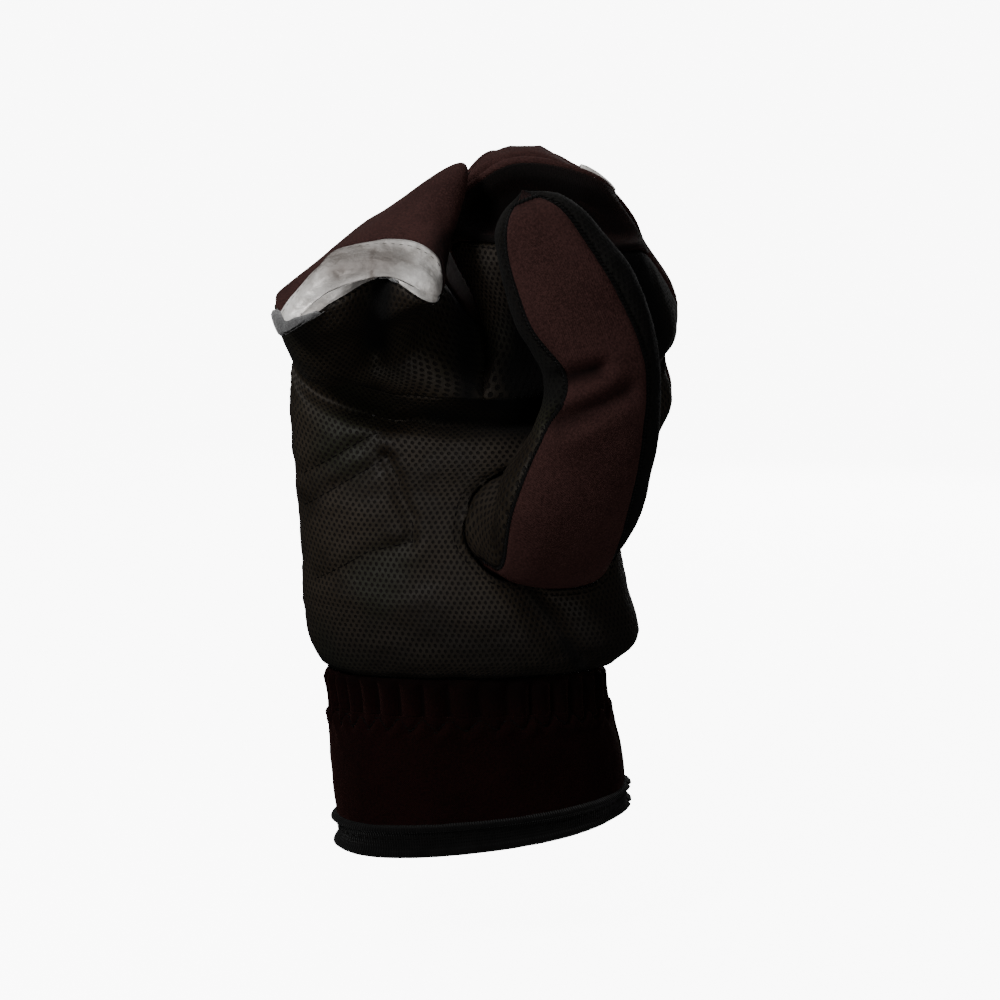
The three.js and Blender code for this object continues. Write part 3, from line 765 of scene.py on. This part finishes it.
# Both pockets' first rings shape the web between them, so the right pocket's rings stand here too.
RIGHT_POCKET = [
    section((28.5, -1, 173), (30.5, 0, -1), (0, -28, -14), (0, 23, 11), square=0.8),
    section((19.7, 0, 187), (31.1, -4, -2), (3, -28, -6), (1, 20, 8), square=0.8),
    section((17, 1, 197), (27.5, -7, -1.5), (4, -26, -3), (2, 18, 6), square=0.85),
    section((15.5, 1, 206), (21, -6, -1), (3, -25, 0), (1, 16, 3), square=0.85),
    section((13.5, 1, 212.5), (13, -2, -1), (0, -17, 0), (0, 11, 1), square=0.85),
    section((12.5, 1, 216), (6.5, 0, 0), (0, -8, 0), (0, 4, 0)),
    section((13.5, 1, 217), (3.5, 0, 0), (0, -0.5, 0), (0, 0.5, 0)),
]
LEFT_FOLDS = [
    ((-30, 186), (-32, 158), 4.5, -7),
    ((-19, 180), (-15, 146), 6.5, 4),
    ((-44, 178), (-48, 152), 7, 2.5),
    ((-6, 176), (-7, 150), 3.5, -3),
]
# Painted shade on the left pocket: in a fold's valley, along its crease on the palm, by the gap next
# to the right pocket, on its back beside that gap, and across the middle of the tape.
LEFT_PAINTED_SHADE = [
    ((-28, 184), (-31, 162), 3.6, 1.5),
    ((-58, 158), (-43, 151), 0.9, 0.5),
    ((-43, 151), (-12, 138), 1.2, 0.5),
    ((-5, 178), (-4, 142), 5, 1),
    ((-52, 165), (-40, 155), 3, 0.3),
]
LEFT_BACK_PAINTED_SHADE = [((-9, 190), (-3, 162), 4.5, 1.8)]
TAPE_PAINTED_SHADE = [((-41, 186), (-27, 188), 8, 0.9), ((-31, 190), (-31, 182), 2.5, 0.95)]
LEFT_TIP = 6
LEFT_SEAM = 5
# A pocket's foot starts an eighth of a turn before its front, and its last quarter is on the web.
FOOT_START = 1 / 8
WEB_PLACE = 0.75
WEB_RISE = 4


def hand_end(row, share):
    """A straight line through the hand from the front at 0 to the back at 1."""
    front, back = (hand(row + 0 * share, turn + 0 * share) for turn in (0, 0.5))
    return front + (back - front) * share[..., None]


def web(share):
    """The strip between the pockets, from the front at 0 to the back at 1."""
    ends = hand_end(HAND_TOP, share)
    ends[..., 2] += WEB_RISE * np.sin(math.pi * share)
    return ends


def pocket(rings, other, side, folds):
    """Three quarters of a pocket's foot go on from the hand's end, the rest from the web."""

    def surface(row, turn):
        place = (turn + FOOT_START) % 1
        angle = side * (place - FOOT_START)
        hand_turn = side * np.minimum(place, WEB_PLACE) * 2 / 3
        share = np.clip((1 - place) / (1 - WEB_PLACE), 0, 1)
        on_web = (place > WEB_PLACE)[..., None]
        bow = np.sin(math.pi * share)[..., None]
        lead = hand_end(HAND_TOP - 1, share) * (1 - bow) + other(-angle) * bow
        foot = [np.where(on_web, lead, hand(0 * row + HAND_TOP - 1, hand_turn)),
                np.where(on_web, web(share), hand(0 * row + HAND_TOP, hand_turn))]
        points = through(foot + [ring(angle) for ring in rings], row + 1)
        return pushed(points, turn, folds, smooth(row, 0, 1))

    return surface


def tape_edge(turn):
    """The tape's upper edge: a narrow strip, a step up, a broad band and a short slope down."""
    share = ((turn - SIDE_SEAM) % 1) * 2
    band = np.maximum(smooth(share, 0.37, 0.44) - 0.4 * smooth(share, 0.85, 1), 0)
    ends = smooth(1 - share, 0, 0.05)
    return np.where(share > 1, LEFT_SEAM, LEFT_SEAM - 0.5 * ends - 0.8 * band)


def make_tape():
    """Reflective tape: a silver coating on cloth, with soft crumples, and the silver painted lighter
    on them as a painted reflection.
    """
    start, place, cloth, close = finish_of("silver_tape", specular=0.5)
    crumple = noise_of(start, place, 75, 3, 0.6)
    fine = noise_of(start, place, 1500, 2)
    # Painted reflection: the silver is lighter where the crumples rise.
    share = (crumple * 0.8 + fine * 0.2).clear(0.36, 0.66)
    silver = share.blend((0.5, 0.47, 0.44), (0.9, 0.88, 0.85))
    # Painted shade: the cloth attribute's Z darkens the silver towards brown.
    colour = cloth.part("Z").tinted(silver, (0.085, 0.067, 0.056))
    return close(colour, crumple.clear(0.3, 0.7, 0.34, 0.55), crumple * 5 + fine * 0.3, 0.4, 0.25)


left_tube = pocket(LEFT_POCKET, RIGHT_POCKET[0], -1, LEFT_FOLDS)
LIP = {"middle": -27, "half": 19, "rise": 7, "outer_droop": 6.5, "inner_droop": 2.5}


def left_pocket(row, turn):
    """The tube with its tip's lower lip, which arches up in its middle and droops on both sides."""
    points = left_tube(row, turn)
    x = points[..., 0]
    lower = 0.5 + 0.5 * np.cos(turn * FULL_TURN) * smooth(LEFT_TIP - row, 0, 1)
    tent = np.maximum(1 - np.sqrt((x - LIP["middle"]) ** 2 + 4) / LIP["half"], 0)
    outer = LIP["outer_droop"] * smooth(-x, 43, 60)
    inner = LIP["inner_droop"] * lower * smooth(x, -25, -11)
    arch = LIP["rise"] * lower * tent - outer - inner
    points[..., 2] += smooth(row + 0 * x, 3.4, LEFT_SEAM) * arch
    return points


tape = make_tape()


def creased(row, turn, flat):
    """Soft upright creases."""
    return 0.5 * grain(flat * [1.5, 0.7, 0.7], 12, 7.7) + 0.2 * grain(flat, 4.5, 3.3)


def thinner_at_tip(row, turn):
    """How much of the wall stays where the pocket flattens to its tip."""
    return 1 - 0.75 * smooth(row + 0 * turn, 3.2, LEFT_SEAM)


left_palm_piece = panel("left_pocket_palm", left_pocket, (0, LEFT_SEAM), PALM_SIDE,
                        "left_pocket_palm", leather, facing=1, relief=creased,
                        seams="high first last", seam_depth=0.6, painted_shade_map=painted_shade_lines(LEFT_PAINTED_SHADE),
                        taper=thinner_at_tip)
left_back_piece = panel("left_pocket_back", left_pocket, (0, tape_edge), BACK_SIDE,
                        "left_pocket_back", softshell, facing=1, relief=softly,
                        seams="low high first last", seam_depth=0.6,
                        painted_shade_map=painted_shade_lines(LEFT_BACK_PAINTED_SHADE), taper=thinner_at_tip)
left_tape_piece = panel("left_tip_tape", left_pocket, (tape_edge, LEFT_TIP), ALL_ROUND,
                        "left_tip_tape", tape, facing=1, pitch=0.7, relief=creased, seams="low",
                        seam_depth=0.2, painted_shade_map=painted_shade_lines(TAPE_PAINTED_SHADE), taper=thinner_at_tip,
                        closed=True, pole=LEFT_TIP)
TAPE_STITCHED = (0.27, 0.73)
over_back = np.linspace(*TAPE_STITCHED, 300)
stitched("left_tape_stitches", left_tape_piece, left_pocket, tape_edge(over_back) + 0.16,
         over_back, thickness=0.35, count=300)
stitched("left_lip_stitches", left_palm_piece, left_pocket, LEFT_SEAM - 0.2, palm_edge)


# The right pocket, for the index and middle fingers: a leather tongue with round corners below, a
# softshell front sunk behind a folded rim and dyed near black as painted shade, a softshell crown and
# back, and a strip of silver tape sewn on its back shoulder.
RIGHT_FOLDS = [((17, 176), (18, 146), 9, -11), ((-4, 186), (-2, 154), 6, 4)]
# Painted shade on the right pocket: in the tongue's hollow, along its left edge, down by the cleft,
# and on its outer side behind the thumb.
RIGHT_PAINTED_SHADE = [
    ((18, 184), (17, 142), 9, 1.8),
    ((-13, 190), (-12, 140), 1.5, 0.9),
    ((14, 150), (24, 140), 10, 1.5),
    ((42, 190), (52, 150), 10, 1.4),
]
RIGHT_TIP = 7
PARTS_ROUND = 24
TONGUE_LEFT = -5 / PARTS_ROUND
TONGUE_RIGHT = 6 / PARTS_ROUND
BACK_LEFT = 19 / PARTS_ROUND
TONGUE_MIDDLE = (TONGUE_LEFT + TONGUE_RIGHT) / 2
TONGUE_HALF = (TONGUE_RIGHT - TONGUE_LEFT) / 2
FRONT_TURNS = (TONGUE_LEFT, TONGUE_RIGHT)
right_pocket = pocket(RIGHT_POCKET, LEFT_POCKET[0], 1, RIGHT_FOLDS)


def tongue_end(turn):
    """The tongue's upper end, with round corners."""
    return 2.5 - 0.5 * np.abs((turn - TONGUE_MIDDLE) / TONGUE_HALF) ** 5


tongue_piece = panel("right_pocket_palm", right_pocket, (0, tongue_end), FRONT_TURNS,
                     "right_pocket_palm", leather, relief=creased, seams="high first last",
                     painted_shade_map=painted_shade_lines(RIGHT_PAINTED_SHADE))


def rim_row(turn):
    """The folded edge runs over the tip in an arch that comes lower at the left."""
    from_middle = (turn - 0.02) / 0.23
    return 4.9 - np.where(from_middle < 0, 1.8, 1.3) * from_middle**2


def sunk(row, turn, flat):
    """The tip's front lies back inside the rim that the folded edge of the pocket makes."""
    from_side = np.minimum(turn - TONGUE_LEFT, TONGUE_RIGHT - turn) * PARTS_ROUND
    above = row - rim_row(turn)
    hollow = smooth(from_side, 0.2, 2.4) * smooth(-above, 0, 0.8)
    hollow = hollow * smooth(row - tongue_end(turn), 0.05, 0.6)
    rim = 1.5 * bell(above - 0.18, 0.2) - 1.3 * bell(above - 0.6, 0.2)
    return softly(row, turn, flat) + 0.8 - 5.5 * hollow + rim


# The tip's front is softshell dyed near black: painted shade for the hollow under the rim.
painted_shade_softshell = make_softshell("painted_shade_softshell", (0.0022, 0.0018, 0.0017),
                                 (0.005, 0.004, 0.0038), sheen=0.03)
tip_front_piece = panel("right_tip_front", right_pocket, (tongue_end, rim_row), FRONT_TURNS,
                        "right_tip_front", painted_shade_softshell, pitch=0.8, relief=sunk, seams="low")
crown_piece = panel("right_tip_crown", right_pocket, (rim_row, RIGHT_TIP), FRONT_TURNS, "",
                    softshell, pitch=0.8, relief=sunk, pole=RIGHT_TIP)


def rimmed(row, turn, flat):
    """The back's edge is rolled over the front, with a valley behind the roll."""
    from_edge = np.minimum(turn - TONGUE_RIGHT, BACK_LEFT - turn) * PARTS_ROUND
    roll = 1.4 * bell(from_edge - 0.4, 0.45) - 1.7 * bell(from_edge - 1.4, 0.5)
    return softly(row, turn, flat) + roll * smooth(row, 2, 3) * smooth(6.3 - row, 0, 1)


right_back_piece = panel("right_pocket_back", right_pocket, (0, RIGHT_TIP),
                         (TONGUE_RIGHT, BACK_LEFT), "right_pocket_back", softshell,
                         relief=rimmed, seams="low first last", pole=RIGHT_TIP)


def standing_proud(row, turn, flat):
    """The tape lies on the back and follows its roll."""
    return 1.1 + rimmed(row, turn, flat)


STRIP_ROWS = (3.7, 4.7)
STRIP_TURNS = (0.235, 0.53)
strip_piece = panel("right_tip_tape", right_pocket, STRIP_ROWS, STRIP_TURNS, "right_tip_tape",
                    tape, pitch=0.7, relief=standing_proud, seams="low high first last",
                    seam_depth=0.3, wall=0.9)
CORNER = 0.012
tongue_turns = np.linspace(TONGUE_LEFT + CORNER, TONGUE_RIGHT - CORNER, 200)
stitched("tongue_stitches", tongue_piece, right_pocket, tongue_end(tongue_turns) - 0.13,
         tongue_turns, count=200)
back_edges = {"right": TONGUE_RIGHT + INSIDE_SEAM, "left": BACK_LEFT - INSIDE_SEAM}
for side_name, side_turn in back_edges.items():
    stitched(f"right_pocket_stitches_{side_name}", right_back_piece, right_pocket,
             (FIRST_STITCH, 6), side_turn)


# The thumb: folded in front of the right pocket and sewn into the palm's hole, with a softshell
# tongue down its front, a leather band round the rest, and an overlocked piping between them.
THUMB = [
    section((25.5, -33, 108), (22.5, 5, 4), (-1, -8, -17), (2, 4, 18)),
    section((28, -42, 121), (22.5, 5, 2), (0, -14, -9), (0, 10, 12)),
    section((34, -47, 138), (18.5, 2, 0), (0, -15, -3), (0, 14, 4)),
    section((35, -50, 156), (17, 0, 3), (0, -15, -1), (0, 13, 2)),
    section((28, -52, 175), (17.5, 0, 7), (0, -14, -1), (0, 12, 1)),
    section((20, -53, 191), (14.5, 0, 6), (0, -12, 0), (0, 10, 0)),
    section((14.5, -54, 202), (10, 0, 4), (0, -8.5, 0), (0, 8, 0)),
    section((12, -54.5, 208), (0.05, 0, 0.01), (0, -0.05, 0), (0, 0.05, 0)),
]
THUMB_TIP = 8
PIPING_TOP = 7.5
# The thumb's tube starts just inside the hole's edge, in line with a wider ring round the hole.
THUMB_SEAT = 0.995
THUMB_LEAD = 1.35
# The turns of the softshell tongue's left and right edges, ring by ring.
THUMB_EDGES = [
    (-0.16, 0.12), (-0.165, 0.125), (-0.16, 0.135), (-0.175, 0.13), (-0.105, 0.137),
    (-0.144, 0.118), (-0.157, 0.118), (-0.13, 0.13), (-0.12, 0.12),
]
THUMB_FOLDS = [
    ((22, 154), (35, 158), 2.6, -4),
    ((22, 147), (36, 151), 3.5, 1.5),
    ((20, 140), (42, 151), 3.2, -2.8),
    ((20, 133), (40, 143), 4, 1.2),
]
# Painted shade on the thumb: in the valleys of its knuckle folds and at its tip.
THUMB_PAINTED_SHADE = [
    ((20, 153), (33, 157), 2.2, 0.9),
    ((22, 141), (42, 151), 2.6, 0.55),
    ((6, 207), (18, 211), 3.5, 1.5),
]


def hole_edge(turn, grow):
    """The edge of the hole in the palm, or a line round it where grow is over 1."""
    along = power(np.cos(turn * FULL_TURN), HOLE["square"]) * HOLE["tall"] * grow
    across = power(np.sin(turn * FULL_TURN), HOLE["square"]) * HOLE["wide"] * grow
    return hand(HOLE["row"] - along, HOLE["turn"] + across)


def thumb(row, turn):
    """The thumb's tube comes out of the palm's hole."""
    turn = turn + 0 * row
    foot = [hole_edge(turn, THUMB_LEAD), hole_edge(turn, THUMB_SEAT)]
    return pushed(through(foot + [ring(turn) for ring in THUMB], row + 1), turn, THUMB_FOLDS)


def shaded_band(flat):
    """Painted shade on the band: nearly black beside the fingers and down its outer side, and none at
    its root.
    """
    return 0.9 * np.maximum(smooth(flat[..., 2], 141, 150), smooth(flat[..., 0], 35, 43))


def thumb_edge(side):
    """The tongue's left edge for 0 and its right edge for 1, as a smooth line up the thumb."""
    table = [np.array([edges[side], 0, 0], float) for edges in THUMB_EDGES]
    return lambda row: through([point + 0 * row[..., None] for point in table], row)[..., 0]


thumb_left, thumb_right = thumb_edge(0), thumb_edge(1)
thumb_front_piece = panel("thumb_back", thumb, (0, THUMB_TIP), (thumb_left, thumb_right),
                          "thumb_back", softshell, relief=softly, seams="low first last",
                          painted_shade_map=painted_shade_lines(THUMB_PAINTED_SHADE), pole=THUMB_TIP)
thumb_band_piece = panel("thumb_palm", thumb, (0, THUMB_TIP),
                         (thumb_right, lambda row: thumb_left(row) + 1), "thumb_palm", leather,
                         relief=creased, seams="low first last", painted_shade_map=shaded_band, pole=THUMB_TIP)


def make_piping():
    """A round cord that follows a line."""
    sewing = Sewing("piping", ["Thickness"])
    given = sewing.given
    curve = sewing.node("GeometryNodeMeshToCurve", {"Mesh": given["Line"]})
    radius = sewing.node("ShaderNodeMath", {0: given["Thickness"], 1: 0.5}, operation="MULTIPLY")
    form = sewing.node("GeometryNodeCurvePrimitiveCircle", {"Resolution": 10, "Radius": radius})
    cord = sewing.node("GeometryNodeCurveToMesh",
                       {"Curve": curve, "Profile Curve": form, "Fill Caps": True})
    return sewing.close(sewing.node("GeometryNodeSetShadeSmooth", {"Geometry": cord}))


piping = make_piping()
up_rows = np.linspace(0.1, PIPING_TOP, 300)
over_tip = np.linspace(thumb_left(up_rows)[-1], thumb_right(up_rows)[-1], 40)
seam_rows = np.concatenate([up_rows, PIPING_TOP + 0 * over_tip, up_rows[::-1]])
seam_turns = np.concatenate([thumb_left(up_rows), over_tip, thumb_right(up_rows)[::-1]])
seam = thumb(seam_rows, seam_turns)
cord = laid_on("thumb_piping", thumb_front_piece, seam, piping, knit, sunk=0.2, Thickness=1.5)
laid_on("thumb_overlock", cord, seam, stitches, thread,
        Spacing=1.25, Length=2.5, Thickness=0.42, Turned=1.1)
ROOT_STITCH = 1.06
round_root = hole_edge(np.linspace(0, 1, 300), ROOT_STITCH)
laid_on("thumb_root_stitches", palm_piece, round_root, stitches, thread, sunk=0.1,
        Spacing=2.5, Length=1.9, Thickness=0.5)


# The studio: a pale floor, a white surround and large soft lights, with the camera in front of the
# palm and a little above it.
FLOOR_LIGHT = 9.0
FLOOR_HALF = 60.0
FLOOR_HEIGHT = -0.03


def made_floor():
    """White paper that is lit so well that no shadow shows on it."""
    start, place, cloth, close = finish_of("pale_floor", specular=0)
    material = close((0.9, 0.9, 0.9), 0.9)
    shader = material.node_tree.nodes["Principled BSDF"]
    shader.inputs["Emission Color"].default_value = (1, 1, 1, 1)
    shader.inputs["Emission Strength"].default_value = FLOOR_LIGHT
    return material


floor_mesh = bpy.data.meshes.new("floor")
corners = [(x * FLOOR_HALF, y * FLOOR_HALF, FLOOR_HEIGHT)
           for x, y in ((-1, -1), (1, -1), (1, 1), (-1, 1))]
floor_mesh.from_pydata(corners, [], [(0, 1, 2, 3)])
floor_mesh.materials.append(made_floor())
floor = bpy.data.objects.new("floor", floor_mesh)
bpy.context.scene.collection.objects.link(floor)
floor.visible_diffuse = False
floor.visible_glossy = False

TARGET = Vector((0.0056, 0, 0.108))
DISTANCE = 0.95
ELEVATION = math.radians(10)
LENS_MM = 110.3
SENSOR_MM = 36
camera_data = bpy.data.cameras.new("camera")
camera_data.sensor_width = SENSOR_MM
camera_data.lens = LENS_MM
camera_data.clip_start = 0.01
camera = bpy.data.objects.new("camera", camera_data)
towards = Vector((0, math.cos(ELEVATION), -math.sin(ELEVATION)))
camera.location = TARGET - towards * DISTANCE
camera.rotation_euler = towards.to_track_quat("-Z", "Y").to_euler()
bpy.context.scene.collection.objects.link(camera)
bpy.context.scene.camera = camera


def add_light(name, place, size, power_w):
    """A square soft light that is turned to the glove."""
    data = bpy.data.lights.new(name, "AREA")
    data.energy = power_w
    data.size = size
    light = bpy.data.objects.new(name, data)
    light.location = place
    light.rotation_euler = (TARGET - Vector(place)).to_track_quat("-Z", "Y").to_euler()
    bpy.context.scene.collection.objects.link(light)


add_light("key", (-0.3, -0.42, 0.46), 0.16, 2.6)
add_light("front", (0.12, -0.9, 0.08), 0.3, 2.6)
add_light("top", (-0.2, 0.05, 0.62), 0.4, 1.7)
add_light("back", (0.2, 0.85, 0.3), 0.5, 3.0)
SURROUND_LIGHT = 0.06
world = bpy.data.worlds.new("surround")
world.use_nodes = True
surround = world.node_tree.nodes["Background"]
surround.inputs["Color"].default_value = (1, 1, 1, 1)
surround.inputs["Strength"].default_value = SURROUND_LIGHT
bpy.context.scene.world = world
